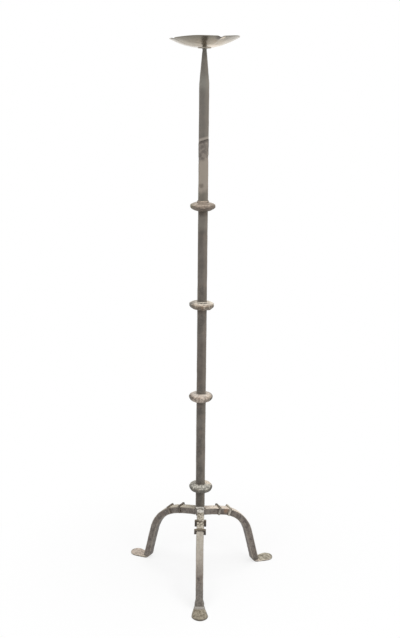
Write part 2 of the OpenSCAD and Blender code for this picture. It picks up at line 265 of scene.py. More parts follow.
def add_rivet(bar):
    """The bar's round tenon through the legs' eyes, hammered out to a low dome under the washer."""
    washer = LEG_UNDER - WASHER_T
    dome = [(RIVET_R * cos(a), washer - RIVET_T * sin(a) / sin(DOME_END), 0)
            for a in evenly(DOME_END, 0, 6)]
    profile = dome + [(TENON_R, washer, 0), (TENON_R, STEM_FOOT + 1, 0)]
    add_shell(bar, round_rings(profile, 0.4, 6))


# ------------ collars

COLLAR_AROUND = 120
HUB_TOP, HUB_W, EDGE_R, FLAT_R, ROUND_R = 13.4, 29.5, 34.5, 33, 33
FLAT_SHARPNESS = 1.6
HUB_R, CROWN_UP, CROWN_DOWN = 15.5, 9.5, 13.5
CROWN_END, WORN_WIDTH = -80, 9  # degrees
LUMP_SIZE, LUMP_T = 6.5, 2.2


def square_reach(turn, width, bevel):
    """Distance from the axis to a bevelled square's outline in a direction."""
    c, s = abs(cos(turn)), abs(sin(turn))
    return min(width / 2 / max(c, s), (width - bevel) / (c + s))


def flat_reach(turn, apothem):
    """Distance from the axis to eight hammered flats, with softened corners."""
    off = (turn + pi / 8) % (pi / 4) - pi / 8
    return apothem / cos(off) - 0.5 * smooth(0.2, pi / 8, abs(off))


def collar(name, node, z, shift, iron, seed, flats=False, hub=False, lean=0, worn_at=0, lump=None):
    """A collar forged round the bar: hub, crown, edge, the deeper curve below the edge and maybe a lump."""
    turns = circle(COLLAR_AROUND)
    bore = [square_reach(t, STEM_W + 0.3, 2.5) for t in turns]
    hub_edge = [square_reach(t, HUB_W, 2.5) if hub else HUB_R for t in turns]
    starts = [crown_start(h) if hub else 80 for h in hub_edge]
    top, foot = z + (HUB_TOP if hub else CROWN_UP), z - CROWN_DOWN
    rings = [level(turns, bore, top), level(turns, [h - 0.3 for h in hub_edge], top, 1)]
    if hub:
        rings.append(level(turns, hub_edge, top - 0.5, 1))
    for share in evenly(0, 1, 32):
        ring = []
        for t, start in zip(turns, starts):
            steep = start + (CROWN_END - start) * share
            a = radians(steep)
            inwards = Vector((cos(t), sin(t), sin(a))).normalized()
            p = crown_point(t, a, z, shift, flats)
            p -= inwards * (dent(p, 13, 0.9, seed) + dent(p, 5, 0.5, seed + 5))
            if lump:
                p += inwards * LUMP_T * exp(-((p - Vector(lump)).length / LUMP_SIZE) ** 2)
            ring.append((p + UP * lean * p.x, exp(-((steep - worn_at) / WORN_WIDTH) ** 2)))
        rings.append(ring)
    rings.append(level(turns, bore, foot))
    make_piece(name, node, rings[::-1], iron, closed=True)


def crown_start(reach):
    """The height angle in degrees where the crown comes out of the hub."""
    share = max(0.06, (reach + 0.3 - HUB_R) / (EDGE_R - HUB_R))
    return degrees(acos(share ** (1 / FLAT_SHARPNESS)))


def crown_point(turn, a, z, shift, flats):
    """A place on the collar's curve at height angle a."""
    if flats:
        reach = min(HUB_R + (EDGE_R - HUB_R) * cos(a) ** FLAT_SHARPNESS, flat_reach(turn, FLAT_R))
    else:
        reach = HUB_R + (ROUND_R - HUB_R) * cos(a)
    return ring_point(turn, reach, z + (CROWN_UP if a > 0 else CROWN_DOWN) * sin(a), shift)


# ------------ legs

LEG_W, SHANK_T, LEG_UNDER = 20.3, 19.3, 188.35
LEG_MID, EYE_T, EYE_R, ROOT_R = LEG_UNDER + LEG_W / 2, LEG_W / 3, 12.5, 12.8
EYE_HOLE, NECK_HOLE = 6.15, 3.15
ROOT_SLOPE, RUN_SLOPE, SHANK_SLOPE = (radians(a) for a in (9.75, 15.06, 75.8))
BEND_R, RUN_LENGTH, KNEE_R = 45, 54.1, 116.8
FOOT_T, ANKLE_R, HEEL_R, FLARE_Z, FLARE_W = 4, 4.5, 16, 27, 31
FOOT_WIDE, FOOT_TIP, RIM_TRIM = 38, 20, 0.05
AZIMUTHS = {"front": -90, "left": 148.6, "right": 25.2}


def bend_end(p, a0, a1, r):
    """Where a bend from slope a0 to slope a1 ends, as distance from the stem and height."""
    return p[0] + r * (sin(a1) - sin(a0)), p[1] + r * (cos(a1) - cos(a0))


LEVEL_END = (ROOT_R + 2.2, LEG_MID)
RUN_R = RUN_LENGTH / (RUN_SLOPE - ROOT_SLOPE)
RUN_START = bend_end(LEVEL_END, 0, ROOT_SLOPE, BEND_R)
KNEE_START = bend_end(RUN_START, ROOT_SLOPE, RUN_SLOPE, RUN_R)
KNEE_END = bend_end(KNEE_START, RUN_SLOPE, SHANK_SLOPE, KNEE_R)


def shank_r(z):
    return KNEE_END[0] + (KNEE_END[1] - z) / tan(SHANK_SLOPE)


def leg_line():
    """The leg's centreline from the stem to the ankle: distance, height, slope and thickness."""
    line = [(r, LEG_MID, 0, LEG_W) for r in (ROOT_R, LEVEL_END[0])]
    bends = [(LEVEL_END, 0, ROOT_SLOPE, BEND_R, 4), (RUN_START, ROOT_SLOPE, RUN_SLOPE, RUN_R, 14),
             (KNEE_START, RUN_SLOPE, SHANK_SLOPE, KNEE_R, 34)]
    for start, a0, a1, radius, steps in bends:
        for i in range(1, steps + 1):
            a = a0 + (a1 - a0) * i / steps
            thick = LEG_W + (SHANK_T - LEG_W) * (i / steps if start is KNEE_START else 0)
            line.append((*bend_end(start, a0, a, radius), a, thick))
    low_end = HEEL_R + 3
    for z in spaced(KNEE_END[1], low_end, 4)[1:]:
        line.append((shank_r(z), z, SHANK_SLOPE, SHANK_T))
    return line


def foot_half_width(r, z, wide, ankle):
    """Half the width of the foot and of the shank that widens down to it."""
    flare = LEG_W / 2 + (FLARE_W - LEG_W) / 2 * smooth(FLARE_Z, FOOT_T, z)
    start = shank_r(0)
    if r < start:
        share = min(1, max(0, (r - start + LEG_W) / LEG_W))
        plan = LEG_W / 2 + (ankle - LEG_W) / 2 * share
        return min(flare, plan) if z < FLARE_Z else LEG_W / 2
    if r < start + FOOT_WIDE:
        return ankle / 2 + (wide - ankle) / 2 * ((r - start) / FOOT_WIDE) ** 0.65
    past = min(1, (r - start - FOOT_WIDE) / (FOOT_TIP - RIM_TRIM))
    return max(0.4, (wide / 2 - RIM_TRIM) * sqrt(1 - past * past))


def stray(where, r):
    """How far the front leg strays from its line, to the right at its root and foot, as photographed."""
    if where != "front":
        return 0
    at_root, at_foot = -1.4, 1.8
    foot = smooth(shank_r(0) - 10, shank_r(0) + FOOT_WIDE + FOOT_TIP, r)
    return at_root * (1 - smooth(66, 110, r)) - at_foot * foot


def directions(where):
    """The level direction in which a leg points and the one to its side."""
    turn = radians(AZIMUTHS[where])
    return Vector((cos(turn), sin(turn), 0)), Vector((sin(turn), -cos(turn), 0))


def leg_stations(where, wide, ankle):
    """Stations of one leg, from its root to the tip of its foot."""
    out, side = directions(where)
    half_across = SHANK_T / 2 / sin(SHANK_SLOPE)
    toe = (shank_r(FOOT_T + ANKLE_R) + half_across + ANKLE_R / sin(SHANK_SLOPE), FOOT_T + ANKLE_R)
    heel = (shank_r(HEEL_R) - half_across + HEEL_R / sin(SHANK_SLOPE), HEEL_R)
    heel_steps = 8

    def beside(r, z, a, distance):
        """A place square to slope a, at a distance from r, z."""
        return r + distance * sin(a), z + distance * cos(a)

    pairs = [(beside(r, z, a, -thick / 2), beside(r, z, a, thick / 2)) for r, z, a, thick in leg_line()]
    for i in range(heel_steps + 1):
        a = SHANK_SLOPE * (1 - i / heel_steps)
        pairs.append((beside(*heel, a, -HEEL_R), beside(*toe, a, -ANKLE_R)))
    flat, widest = (heel[0] + toe[0]) / 2, shank_r(0) + FOOT_WIDE
    tip = widest + FOOT_TIP - RIM_TRIM
    reaches = evenly(flat, widest, 14)[1:]
    reaches += [widest + (tip - widest) * sin(a) for a in evenly(0, pi / 2, 12)[1:]]
    for r in reaches:
        share = (r - flat) / (tip - flat)
        pairs.append(((heel[0] + (tip - heel[0]) * share, 0), (toe[0] + (tip - toe[0]) * share, FOOT_T)))
    stations = []
    for low, high in pairs:
        r = (low[0] + high[0]) / 2
        half = foot_half_width(r, (low[1] + high[1]) / 2, wide, ankle)
        ends = [out * end[0] + UP * end[1] + side * stray(where, r) for end in (low, high)]
        stations.append((*ends, side, 2 * half))
    return stations


def make_leg(where, eye_slot, wide, ankle, iron, seed):
    """One leg with its foot and eye; eye_slot counts the lapped eyes from the lowest one."""
    def dents(p):
        depth = dent(p, 22, 0.7, seed) + dent(p, 8, 0.35, seed + 4) - 0.1
        if p.z < FOOT_T + 2:
            return max(0, depth + 0.1) * smooth(-1, 2.5, p.z)
        if where == "front":
            depth += dent(p, 6, 1.3, 9) * (1 - smooth(26, 34, -p.y))
        return depth

    rings = forged_bar(leg_stations(where, wide, ankle), 2, dents)
    leg = make_piece("leg_" + where + "_iron", "leg_" + where, rings, iron)
    add_eye(leg, AZIMUTHS[where], LEG_UNDER + eye_slot * EYE_T)
    return leg


def add_eye(leg, azimuth, z):
    """The flat eye at the leg's root, round the stem's tenon."""
    into_leg, offs = ROOT_R + 0.4, circle(64)
    narrow = asin(LEG_W / 2 / into_leg)
    outer = [into_leg if abs((off + pi) % (2 * pi) - pi) < narrow else EYE_R for off in offs]
    turns, inner = [off + radians(azimuth) for off in offs], [EYE_HOLE] * len(offs)
    levels = ((inner, z), (inner, z + EYE_T), (outer, z + EYE_T), (outer, z))
    add_shell(leg, [level(turns, reaches, height) for reaches, height in levels], closed=True)


BEAD_INSIDE = 12.7
BEADS = (((-16.4, -2.5), (-8.8, -12.6), 1), ((11.7, -13), (16.1, -4.2), 5))


def add_bead(leg, start, end, seed):
    """A lumpy weld that fills the corner between two legs' roots; start and end are seen from above."""
    start, end = Vector((*start, 0)), Vector((*end, 0))
    outwards = (end - start).normalized().cross(UP)
    turns = [atan2(p.y, p.x) for p in (end, start)]
    rings = []
    for height in evenly(4.5, LEG_W - 0.4, 12):
        fullness = smooth(4, 8, height) * (1 - (height / LEG_W) ** 8)
        ring = []
        for share in evenly(0, 1, 8):
            p = start.lerp(end, share) + UP * (LEG_UNDER + height)
            bulge = 1.2 * sin(pi * share) * fullness
            ring.append(p + outwards * (bulge - dent(p, 5, 1, seed) * sin(pi * share)))
        ring += [ring_point(a, BEAD_INSIDE, LEG_UNDER + height) for a in evenly(*turns, 5)]
        rings.append([(p, 0) for p in ring])
    add_shell(leg, rings)


# ------------ bands

BAND_WIRE, BAND_TOP, BAND_GAP, BAND_SHORT = 5.3, 4.5, 0.1, 2.5
BANDS = {"front": (61, 93), "left": (62, 98), "right": (56, 89)}
BAND_ARMS = {"front": 6.2, "left": BAND_WIRE, "right": BAND_WIRE}
ARM_TRIMS = {("front", "outer"): 3.3, ("right", "inner"): -2, ("right", "outer"): -2}


def bend_at(r):
    """The bend of the leg's line at a distance from the stem: its start, first slope and radius."""
    return (RUN_START, ROOT_SLOPE, RUN_R) if r < KNEE_START[0] else (KNEE_START, RUN_SLOPE, KNEE_R)


def leg_slope(r):
    start, slope, radius = bend_at(r)
    return asin(sin(slope) + (r - start[0]) / radius)


def leg_thickness(r):
    share = (leg_slope(r) - RUN_SLOPE) / (SHANK_SLOPE - RUN_SLOPE)
    return LEG_W + (SHANK_T - LEG_W) * max(0, share)


def leg_height(r):
    start, slope, radius = bend_at(r)
    return start[1] + radius * (cos(leg_slope(r)) - cos(slope))


def staple_line(reach, bottom, top, radius, trim):
    """One face of a staple, seen along the leg: up an arm, over the top and down the other, trimmed arm."""
    def half(end):
        line = [(reach, v) for v in evenly(end, top - radius, 8)]
        for a in map(radians, (30, 60, 90)):
            line.append((reach - radius * (1 - cos(a)), top - radius * (1 - sin(a))))
        return line + [(x, top) for x in evenly(reach - radius, 0, 5)[1:]]
    return [(-x, v) for x, v in half(bottom)] + half(bottom + trim)[-2::-1]


def make_band(where, place, r, iron, seed):
    """An open staple of square wire over the leg: two arms and the top, in one bent bar."""
    (out, side), slope = directions(where), leg_slope(r)
    along = out * cos(slope) - UP * sin(slope)
    normal = out * sin(slope) + UP * cos(slope)
    centre = out * r + UP * leg_height(r) + side * stray(where, r)
    half, top = LEG_W / 2 + BAND_GAP, leg_thickness(r) / 2 + BAND_GAP
    bottom = BAND_SHORT - leg_thickness(r) / 2
    trim = ARM_TRIMS.get((where, place), 0)
    inner = staple_line(half, bottom, top, 0.6, trim)
    outer = staple_line(half + BAND_ARMS[where], bottom, top + BAND_TOP, 2.2, trim)
    stations = [(*(centre + side * x + normal * y for x, y in ends), along, BAND_WIRE)
                for ends in zip(inner, outer)]

    def dents(p):
        return dent(p, 7, 0.4, seed) + dent(p, 3, 0.2, seed + 2)

    name, rounding = "band_" + where + "_" + place, 0.9
    rings = forged_bar(round_ends(stations, rounding), rounding, dents)
    make_piece(name + "_wire", name, rings, iron)


# ------------ pan and its joint

PAN_R, PAN_DEPTH, PAN_T, PAN_FLAT, PAN_UNDER = 88.9, 25.1, 1.6, 17, 1475.4
PAN_CURVE, PAN_LEAN = 1.65, 3.1
NOTCHES = ((-62.3, 5.5), (27.7, 4), (117.7, 4), (207.7, 3))
NOTCH_SLOW, NOTCH_W, NOTCH_PINCH = 0.45, 16, 2.5


def notch_shape(azimuth):
    """How far the rim drops and is drawn in at a direction in degrees."""
    drop, pull = 0, 0
    for at, depth in NOTCHES:
        off = abs((azimuth - at + 180) % 360 - 180)
        narrow = exp(-((radians(off) * PAN_R / (NOTCH_W / 4)) ** 2) / 2)
        slow = cos(radians(min(90, 2 * off))) ** 2
        drop += depth * (NOTCH_SLOW * slow + (1 - NOTCH_SLOW) * narrow)
        pull = max(pull, NOTCH_PINCH * narrow)
    return drop, pull


def pan_place(azimuth, share, lift):
    """A place on the dish: share 0 is the flat bottom's edge and 1 the rim."""
    drop, pull = notch_shape(azimuth)
    turn = radians(azimuth)
    r = PAN_FLAT + (PAN_R - PAN_FLAT) * share - pull * share ** 3
    z = PAN_UNDER + lift + (PAN_DEPTH - PAN_T) * share ** PAN_CURVE
    z += PAN_LEAN * cos(turn) * share - drop * share ** 3
    planish = dent((r * cos(turn), r * sin(turn), 0), 15, 0.5, 2) * smooth(0, 0.3, share)
    return ring_point(turn, r, z + planish * (1 - share ** 8))


def make_pan(iron):
    """The dish: hole, underside, rolled rim and inside, as one skin."""
    around, across, rolled, bottom = 240, 40, 0.35, 10
    turns = [360 * j / around for j in range(around)]

    def flat(r, lift):
        return level(map(radians, turns), [r] * around, PAN_UNDER + lift)

    def ring(share, lift, mark=0, inset=0):
        return [(pan_place(t, share - inset / (PAN_R - PAN_FLAT), lift), mark) for t in turns]

    under = [flat(NECK_HOLE, 0), flat(bottom, 0)]
    under += [ring(i / across, 0, 0 if i < across - 1 else 0.5) for i in range(across)]
    rim = [ring(1, lift, 1, inset) for lift, inset in ((0, rolled), (0.4, 0), (1.2, 0), (PAN_T, rolled))]
    inside = [flat(NECK_HOLE, PAN_T), flat(bottom, PAN_T)] + [ring(i / across, PAN_T) for i in range(across)]
    make_piece("pan_dish", "drip_pan", under + rim + inside[::-1], iron, closed=True, sharp=60)


def round_rings(profile, blows=0, seed=0):
    """Rings of a round piece from its profile of (radius, height, edge mark)."""
    count, smallest_dented = 72, 0.7

    def dented(t, r, z):
        p = ring_point(t, r, z)
        return p - ring_point(t, 1, 0) * dent(p, 6, blows, seed) * (r > smallest_dented)

    return [[(dented(t, r, z), mark) for t in circle(count)] for r, z, mark in profile]


def disc_profile(hole, radius, low, high, bevel=0.4):
    return [(hole, high, 0), (hole, low, 0), (radius - bevel, low, 0.5), (radius, low + bevel, 1),
            (radius, high - bevel, 1), (radius - bevel, high, 0.5)]


def make_joint_pieces(iron, bright):
    """The two washers and the candle's spike with its round foot, neck and cone."""
    under_pan = disc_profile(NECK_HOLE, 17, STEM_TOP, PAN_UNDER)
    under_legs = disc_profile(EYE_HOLE, 11, LEG_UNDER - WASHER_T, LEG_UNDER)
    floor, top = PAN_UNDER + PAN_T, PAN_UNDER + PAN_T + 3
    socket, foot_r, neck_r, cone_r, tip_r, steps = floor + 9.2, 13, 6, 5.6, 0.6, 6
    spike = [(0.3, socket, 0), (NECK_HOLE, socket, 0), (NECK_HOLE, floor, 0), (foot_r - 0.5, floor, 0.5),
             (foot_r, floor + 0.5, 1), (foot_r, top - 0.5, 1), (foot_r - 0.5, top, 0.5), (7, top, 0),
             (6.2, top + 0.6, 0), (neck_r, top + 2, 0), (neck_r, top + 8.4, 0.6), (cone_r, top + 9, 1)]
    spike += [(cone_r + (tip_r - cone_r) * i / steps, top + 9 + 14.6 * i / steps, 0.3)
              for i in range(1, steps + 1)]
    spike.append((0.15, top + 24, 1))
    for name, node, rings, finish, closed in (
            ("washer_under_pan", "pan_washer", round_rings(under_pan), bright, True),
            ("washer_under_legs", "base_washer", round_rings(under_legs), iron, True),
            ("candle_spike", "pricket", round_rings(spike, 0.15, 3), iron, False)):
        make_piece(name, node, rings, finish, closed)


# ------------ finishes

def srgb(tone):
    """A tone, three numbers from 0 to 255, as the colour that shows so."""
    shares = (v / 255 for v in tone)
    return (*(v / 12.92 if v <= 0.04045 else ((v + 0.055) / 1.055) ** 2.4 for v in shares), 1)


class Surface:
    """A node tree with the place on the object in mm and the colour laid on so far."""

    def __init__(self, tree, place=None):
        self.tree, self.place, self.colour = tree, place, None

    def feed(self, socket, value):
        """Links a socket or sets its value; a colour may be given as a tone."""
        if isinstance(value, bpy.types.NodeSocket):
            self.tree.links.new(value, socket)
        elif value is not None:
            is_tone = socket.type == "RGBA" and len(value) == 3
            socket.default_value = srgb(value) if is_tone else value

    def fill(self, node, **values):
        """Feeds a node's inputs by name, with _ for a space, and gives its outputs."""
        for label, value in values.items():
            self.feed(node.inputs[label.replace("_", " ")], value)
        return node.outputs

    def add(self, kind, *values, output=0, **settings):
        """Adds a node, feeds its first inputs in order and gives one of its outputs."""
        node = self.tree.nodes.new("ShaderNode" + kind)
        for label, value in settings.items():
            setattr(node, label, value)
        for socket, value in zip(node.inputs, values):
            self.feed(socket, value)
        return node.outputs[output]

    def use(self, group, **values):
        """Places a group and gives its outputs."""
        node = self.tree.nodes.new("ShaderNodeGroup")
        node.node_tree = group
        if "Place" in node.inputs:
            values["Place"] = self.place
        return self.fill(node, **values)

    def sums(self, operation, a, b=None, c=None):
        return self.add("Math", a, b, c, operation=operation)

    def times(self, a, b, plus=None):
        return self.sums("MULTIPLY" if plus is None else "MULTIPLY_ADD", a, b, plus)

    def minus(self, a, b):
        return self.sums("SUBTRACT", a, b)

    def vectors(self, operation, a, b=None, output="Vector"):
        """Vector sums; b is a vector, or the factor where the operation is SCALE."""
        values = (a, None, None, b) if operation == "SCALE" else (a, b)
        return self.add("VectorMath", *values, operation=operation, output=output)

    def step(self, value, low, high, start=0, end=1):
        """A soft step of a value between low and high."""
        return self.add("MapRange", value, low, high, start, end, interpolation_type="SMOOTHSTEP")

    def blend(self, share, a, b):
        return self.add("Mix", share, *[None] * 5, a, b, data_type="RGBA", output=2)

    def along(self, axis, vector=None):
        """How far a vector, or else the place, lies along an axis."""
        return self.add("SeparateXYZ", self.place if vector is None else vector, output=axis)

    def facing(self, axis):
        """How far the surface looks along an axis, from -1 to 1."""
        return self.along(axis, self.add("NewGeometry", output="Normal"))

    def reach(self):
        """Distance from the stem's axis."""
        return self.vectors("LENGTH", self.vectors("MULTIPLY", self.place, (1, 1, 0)), output="Value")

    def cloud(self, size, detail=3, rough=0.55, stretch=(1, 1, 1), offset=(0, 0, 0)):
        """Cloudy noise with patches of a size in mm."""
        place = self.add("Mapping", self.place, offset, None, stretch)
        return self.add("TexNoise", place, None, self.sums("DIVIDE", 1, size), detail, rough, output="Fac")

    def mottled(self, dark, light, cloud, low=0.4, high=0.6):
        return self.blend(self.step(cloud, low, high), dark, light)

    def zone(self, value, low, high, soft):
        return self.use(ZONE, Value=value, Low=low, High=high, Soft=soft)["Mask"]

    def cover(self, mask, colour):
        """Lays a colour over the colour so far where the mask is."""
        self.colour = self.blend(mask, self.colour, colour)

    def tone(self, mask, amount, tone):
        """Lays on a tone where the mask is, as strongly as the amount says."""
        self.cover(self.times(mask, amount), tone)

    def spots(self, spots, within=None):
        """Lays on ragged spots: centre, radius, strength and tone, only where within is."""
        for centre, radius, amount, tone in spots:
            mask = self.use(SPOT, Centre=centre, Radius=radius)["Mask"]
            self.tone(mask if within is None else self.times(mask, within), amount, tone)


def patina(net, given):
    """Waxed forge scale: cloudy dark and light patches, stains, fine speckle and pits."""
    wide, fine = net.cloud(given["Size"], 4, 0.6), net.cloud(4, 3, 0.6)
    speck, stains = net.cloud(1.6, 2, 0.6, offset=(3, 1, 7)), net.cloud(22, 3, 0.6, offset=(13, 7, 1))
    cloudy = net.times(fine, 0.4, net.times(wide, 0.6))
    colour = net.mottled(given["Dark"], given["Light"], cloudy, 0.39, 0.61)
    stained = net.times(net.step(stains, 0.5, 0.68), given["Stain amount"])
    grit = net.times(net.minus(speck, 0.5), given["Speckle"], 1)
    pits = net.times(net.step(speck, 0.3, 0.5), 0.35)
    return (net.vectors("SCALE", net.blend(stained, colour, given["Stain"]), grit),
            net.step(fine, 0.3, 0.7, -0.09, 0.1), net.times(fine, 0.65, pits))


def hammer_blows(net, given):
    """Shallow overlapping facets from a hammer."""
    wobble = net.vectors("SCALE", net.cloud(20, 2), 12)
    place, scale = net.vectors("ADD", net.place, wobble), net.sums("DIVIDE", 1, given["Size"])
    softness = 0.6
    return [net.add("TexVoronoi", place, None, scale, None, None, None, softness, feature="SMOOTH_F1",
                    output="Distance")]


def edge_wear(net, given):
    """Edges rubbed bright: follows the edge marks of the mesh, broken up by noise."""
    mark = net.add("Attribute", attribute_name="edge", output="Fac")
    rub = net.cloud(12, 4, 0.65, offset=(9, 2, 4))
    mask = net.times(net.step(net.times(rub, 1.1, net.times(mark, 0.7)), 0.95, 1.3), given["Amount"])
    return net.blend(mask, given["Color"], given["Worn"]), mask


def facing_cover(net, given, sign, offset):
    """A tone laid on faces that look up (sign 1) or down (sign -1), in patches: on tops a pale settled film
    with painted light from above, on undersides painted shade.
    """
    looks, patch = net.times(net.facing("Z"), sign), net.cloud(7, 4, 0.65, offset=offset)
    mask = net.times(net.step(looks, given["From"], given["To"]), net.step(patch, 0.3, 0.6, 0.55, 1))
    mask = net.times(mask, given["Amount"])
    return net.blend(mask, given["Color"], given["Cover"]), mask


def soft_zone(net, given):
    """1 where a value lies between low and high, 0 away from it, with soft edges."""
    def edge(at, start, end):
        low, high = net.minus(given[at], given["Soft"]), net.sums("ADD", given[at], given["Soft"])
        return net.step(given["Value"], low, high, start, end)
    return [net.times(edge("Low", 0, 1), edge("High", 1, 0))]


def ragged_spot(net, given):
    """A ragged spot: 1 inside its radius and 0 outside."""
    gap = net.vectors("DISTANCE", net.place, given["Centre"], "Value")
    ragged = net.times(net.cloud(5, 4, 0.65), 1.6, net.sums("DIVIDE", gap, given["Radius"]))
    return [net.step(ragged, 1.2, 2, 1, 0)]


SOCKET_KINDS = {"NodeSocketVector": ("Place", "Centre"),
                "NodeSocketColor": ("Dark", "Light", "Stain", "Color", "Worn", "Cover")}


def new_group(name, make, inputs, outputs):
    """A shader group with named sockets, values where no kind is listed; make gives what its outputs show."""
    tree = bpy.data.node_groups.new(name, "ShaderNodeTree")
    kinds = {label: kind for kind, labels in SOCKET_KINDS.items() for label in labels}
    for side, labels in (("INPUT", inputs), ("OUTPUT", outputs)):
        for label in labels:
            tree.interface.new_socket(label, in_out=side, socket_type=kinds.get(label, "NodeSocketFloat"))
    given, shown = tree.nodes.new("NodeGroupInput").outputs, tree.nodes.new("NodeGroupOutput").inputs
    net = Surface(tree, given.get("Place"))
    for socket, value in zip(shown, make(net, given)):
        net.feed(socket, value)
    return tree


MASKED = ("Color", "Mask")
FACING_COVER_INPUTS = ("Place", "Color", "Cover", "Amount", "From", "To")
PATINA = new_group(
    "forge patina", patina, ("Place", "Dark", "Light", "Stain", "Size", "Stain amount", "Speckle"),
    ("Color", "Roughness", "Height"))
HAMMER = new_group("hammer blows", hammer_blows, ("Place", "Size"), ["Height"])
WEAR = new_group("edge wear", edge_wear, ("Place", "Color", "Worn", "Amount"), MASKED)
# a pale settled film on upward faces, which also stands for painted light on tops
DUST_AND_TOP_LIGHT = new_group("settled dust", partial(facing_cover, sign=1, offset=(1, 5, 8)), FACING_COVER_INPUTS, MASKED)
# painted shade on faces that look down
UNDERSIDE_SHADE = new_group("underside soot", partial(facing_cover, sign=-1, offset=(6, 3, 2)), FACING_COVER_INPUTS, MASKED)
ZONE = new_group("zone", soft_zone, ("Value", "Low", "High", "Soft"), ["Mask"])
SPOT = new_group("ragged spot", ragged_spot, ("Place", "Centre", "Radius"), ["Mask"])


def new_material(name):
    """A material, its shader and its surface."""
    material = bpy.data.materials.new(name)
    material.use_nodes = True
    surface = Surface(material.node_tree)
    surface.place = surface.vectors("SCALE", surface.add("TexCoord", output="Object"), 1 / MM)
    return material, material.node_tree.nodes["Principled BSDF"], surface


def iron_finish(name, dark, light, stain=(108, 95, 85), worn=(160, 151, 138), dust=(196, 185, 168),
                painted_shade=(66, 58, 51), size=30, stain_amount=0.5, speckle=0.35, wear=0.5, dusty=0.7, sooty=0.5,
                dust_from=0.15, dust_to=0.8, rough=0.5, metal=0.2, wax=0, blow=14, relief=0.5,
                under=None, over=None, **own):
    """Forged iron: patina, hammer blows, rubbed edges, a pale settled film with painted light on tops and
    painted shade on undersides. under and over are functions that add a piece's own tones below and above the
    pale tops; over takes the values in own."""
    material, shader, iron = new_material(name)
    scale = iron.use(PATINA, Dark=dark, Light=light, Stain=stain, Size=size, Stain_amount=stain_amount,
                     Speckle=speckle)
    iron.colour = scale["Color"]
    if under:
        under(iron)
    rubbed = iron.use(WEAR, Color=iron.colour, Worn=worn, Amount=wear)
    # painted light on tops, laid on together with a pale settled film
    dusted_and_lit = iron.use(DUST_AND_TOP_LIGHT, Color=rubbed["Color"], Cover=dust, Amount=dusty, From=dust_from, To=dust_to)
    # painted shade on faces that look down
    iron.colour = iron.use(UNDERSIDE_SHADE, Color=dusted_and_lit["Color"], Cover=painted_shade, Amount=sooty, From=0, To=0.55)["Color"]
    if over:
        over(iron, **own)
    shine = iron.times(rubbed["Mask"], -0.12, iron.sums("ADD", scale["Roughness"], rough))
    blows = iron.use(HAMMER, Size=blow)["Height"]
    bump = iron.fill(iron.tree.nodes.new("ShaderNodeBump"), Strength=0.8, Distance=relief * MM,
                     Height=iron.times(blows, 0.8, iron.times(scale["Height"], 0.45)))
    iron.fill(shader, Base_Color=iron.colour, Roughness=iron.times(dusted_and_lit["Mask"], 0.14, shine),
              Metallic=iron.times(dusted_and_lit["Mask"], -metal, metal), Coat_Weight=wax, Coat_Roughness=0.25,
              Coat_Tint=(1, 0.94, 0.84, 1), Normal=bump[0])
    return material


STEM_TONES = (  # lowest and highest place, softness, strength and tone
    (1455, 1480, 8, 0.7, (102, 99, 92)),
    (1412, 1455, 8, 0.6, (118, 114, 106)),
    (1370, 1412, 18, 0.75, (134, 131, 123)),
    (1250, 1370, 22, 0.7, (104, 100, 94)),
    (1082, 1119, 3, 0.8, (104, 99, 89)),
    (1015, 1052, 8, 0.7, (116, 111, 103)),
    (880, 1005, 15, 0.5, (92, 86, 80)),
    (590, 720, 20, 0.5, (86, 78, 71)),
    (217, 262, 6, 0.5, (84, 78, 70)),
)
PAINTED_COLLAR_SHADOWS = ((1064, 0.85), (797, 0.65), (535, 0.65), (264, 0.65))  # height and strength of the painted shadow below each collar


def stem_tones(iron):
    """The stem's tones: taper, scarf weld, the rubbed length under it, a painted shadow below each collar and
    painted light on its right side.
    """
    height, wobble = iron.along("Z"), iron.cloud(25)
    shifted = iron.times(wobble, 16, iron.minus(height, 8))
    for low, high, soft, amount, tone in STEM_TONES:
        iron.tone(iron.zone(shifted, low, high, soft), amount, tone)
    # painted shadow on the stem below each collar
    for z, amount in PAINTED_COLLAR_SHADOWS:
        iron.tone(iron.zone(height, z - 9, z + 12, 7), amount, (60, 52, 43))
    weld_tones(iron)
    # painted light: the stem's right side paler, as if lit from the right
    right = iron.times(wobble, 12, iron.along("X"))
    iron.tone(iron.zone(right, 9, 40, 4), 0.22, (150, 140, 128))
    foot = iron.step(iron.times(wobble, 4, height), 218, 222, 1, 0)
    iron.cover(foot, weld_lumps(iron))


def weld_lumps(iron):
    """Pale lumps with dark gaps, where the stem was welded into the legs."""
    lumps = iron.cloud(5, 2, 0.6, offset=(4, 4, 0))
    return iron.mottled((130, 122, 113), (224, 220, 212), lumps, 0.36, 0.5)


def weld_tones(iron):
    """Light lip and dark line along the weld, a mottled patch below it, then the rubbed length."""
    above = iron.minus(iron.vectors("DOT_PRODUCT", iron.place, (-WELD_RISE, WELD_FALL, 1), "Value"), WELD_Z)
    ragged = iron.times(iron.cloud(18), 20, iron.minus(above, 10))
    blotches = iron.cloud(7, 3, 0.6, offset=(2, 8, 5))
    iron.cover(iron.zone(above, -51, -1, 2), iron.mottled((94, 88, 82), (126, 118, 110), blotches, 0.4, 0.62))
    iron.tone(iron.zone(ragged, -131, -51, 6), 0.9, (142, 133, 122))
    iron.tone(iron.zone(above, 0, 7, 3), 0.7, (158, 149, 140))
    iron.tone(iron.zone(above, -5, -0.5, 1.5), 0.75, (70, 64, 58))
    iron.spots([((-5.5, -12.7, 1131), 7, 0.7, (92, 84, 74))])


